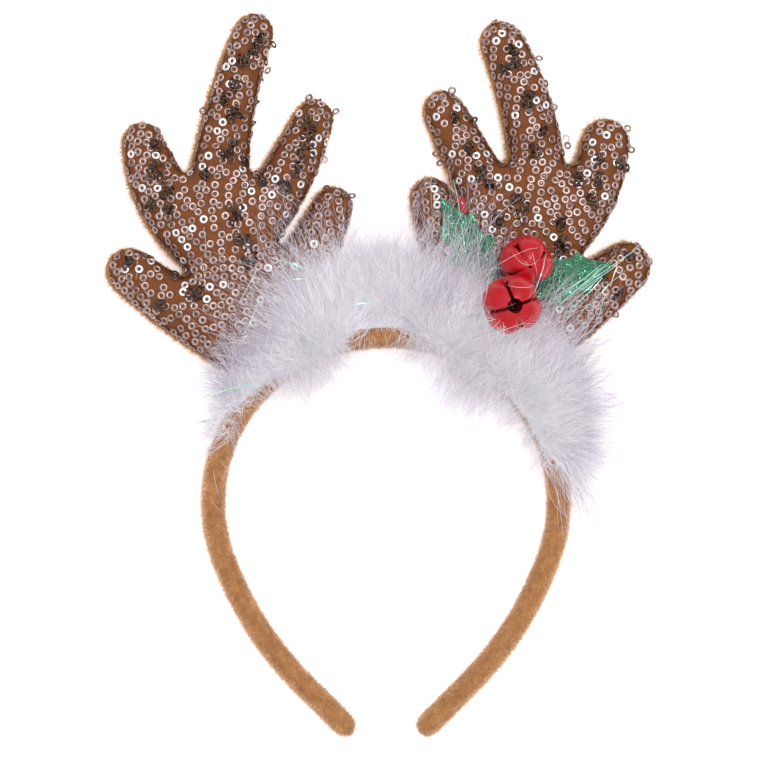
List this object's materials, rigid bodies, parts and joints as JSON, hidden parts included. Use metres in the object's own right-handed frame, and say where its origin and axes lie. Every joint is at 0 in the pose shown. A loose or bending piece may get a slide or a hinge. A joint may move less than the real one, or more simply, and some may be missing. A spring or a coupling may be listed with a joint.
{
  "type": "reindeer antler headband",
  "caption": "Plush covered headband with stuffed sequinned reindeer antlers, a white feather trim, glitter holly leaves and red jingle bells.",
  "frame": {"origin": "middle of the band's crown, on the surface that the headband lies on", "axes": "+X to the wearer's left as seen from the front, +Y from the crown towards the antlers' tips, +Z out of the antlers' front"},
  "size_m": [0.2056, 0.2718, 0.0463],
  "materials": {
    "tan_plush": "short caramel plush",
    "sequin_cloth": "brown satin cloth sewn with small coppery ring sequins",
    "marabou": "soft white feather down",
    "holly_green": "green glitter cloth",
    "bell_red": "red satin lacquer on thin metal",
    "ball_steel": "dull steel",
    "bead_red": "glossy red"
  },
  "bodies": {
    "root": {"headband": "tan_plush", "antler_left_face": "sequin_cloth", "antler_left_back": "tan_plush", "antler_right_face": "sequin_cloth", "antler_right_back": "tan_plush", "marabou_trim": "marabou", "holly_leaf_left": "holly_green", "holly_leaf_right": "holly_green", "jingle_bell_upper": "bell_red", "jingle_bell_lower": "bell_red", "bell_ball_upper": "ball_steel", "bell_ball_lower": "ball_steel", "red_bead": "bead_red"}
  },
  "joints": []
}
